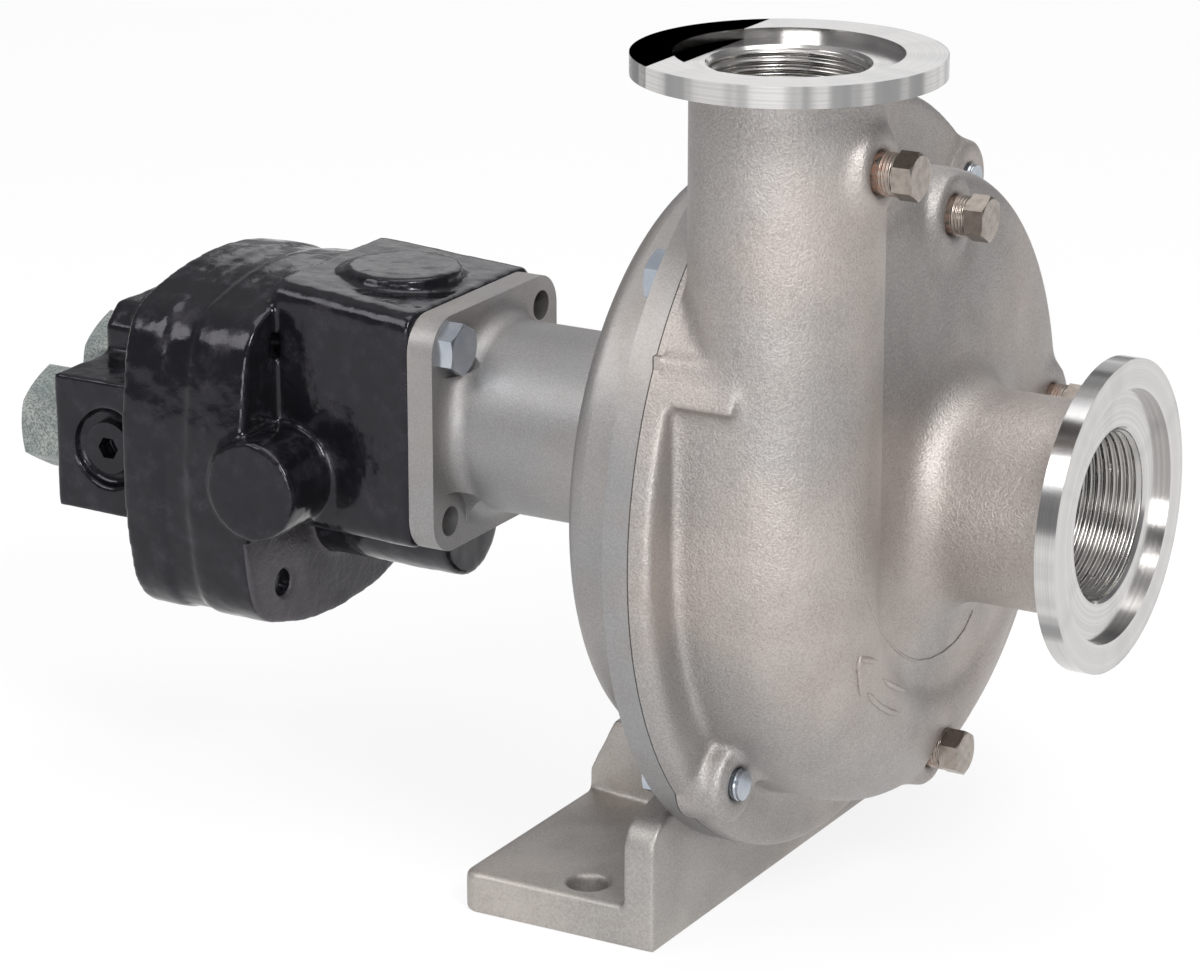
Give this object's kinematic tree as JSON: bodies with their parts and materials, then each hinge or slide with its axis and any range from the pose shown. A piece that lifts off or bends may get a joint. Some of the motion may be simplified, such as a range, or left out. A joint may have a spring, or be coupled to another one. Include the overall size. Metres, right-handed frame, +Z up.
{
  "type": "centrifugal pump",
  "caption": "Close-coupled centrifugal pump in cast stainless steel with clamp flanges, a foot mount and a black hydraulic gear motor.",
  "frame": {"origin": "middle of the line between the two base holes, on the underside of the foot", "axes": "+X along the shaft towards the suction flange, +Z up; the discharge is on the -Y side"},
  "size_m": [0.3338, 0.2097, 0.246],
  "materials": {
    "casing": "bead-blasted cast stainless steel",
    "machined": "machined stainless steel",
    "zinc": "bright zinc plate",
    "black_paint": "gloss black paint",
    "steel": "ground steel",
    "rubber": "black rubber",
    "ceramic": "ground ceramic",
    "carbon": "carbon",
    "bronze": "bronze"
  },
  "bodies": {
    "pump": {"volute_casing": "casing", "discharge_plug": "machined", "vent_plug": "machined", "side_plug": "machined", "drain_plug": "machined", "casing_bolts": "zinc", "casing_o_ring": "rubber", "wear_ring": "machined", "back_plate": "casing", "foot": "casing", "foot_screws": "zinc", "bearing_outer_ring": "steel", "bearing_clip": "steel", "seal_seat": "ceramic", "seal_seat_gasket": "rubber", "motor_front_housing": "black_paint", "motor_bolts": "zinc", "motor_gear_plate": "black_paint", "motor_rear_cover": "black_paint", "motor_body_screws": "zinc", "port_plug": "zinc", "inlet_adaptor": "zinc", "outlet_adaptor": "zinc", "drive_front_bush": "bronze", "drive_rear_bush": "bronze", "idler_front_bush": "bronze", "idler_rear_bush": "bronze", "motor_shaft_seal": "rubber"},
    "rotor": {"pump_shaft": "machined", "impeller_key": "steel", "drive_key": "steel", "bearing_inner_ring": "steel", "slinger": "rubber", "seal_ring": "carbon", "seal_sleeve": "rubber", "seal_holder": "machined", "seal_bellows": "machined", "bellows_collar": "machined", "impeller": "casing", "impeller_washer": "machined", "impeller_nut": "machined", "motor_shaft": "steel", "drive_gear": "steel"},
    "idler": {"idler_gear": "steel", "idler_shaft": "steel"},
    "ball_set": {"bearing_balls": "steel", "bearing_cage": "steel"}
  },
  "joints": [
    {"name": "shaft_spin", "type": "hinge", "parent": "pump", "child": "rotor", "pos_m": [0, 0, 0.1165], "axis": [1, 0, 0], "continuous": true},
    {"name": "idler_spin", "type": "hinge", "parent": "pump", "child": "idler", "pos_m": [-0.152, 0, 0.0825], "axis": [1, 0, 0], "continuous": true},
    {"name": "bearing_spin", "type": "hinge", "parent": "pump", "child": "ball_set", "pos_m": [-0.019, 0, 0.1165], "axis": [1, 0, 0], "continuous": true}
  ],
  "couplings": [
    {"joint": "idler_spin", "follows": "shaft_spin", "ratio": -1},
    {"joint": "bearing_spin", "follows": "shaft_spin", "ratio": 0.406}
  ]
}
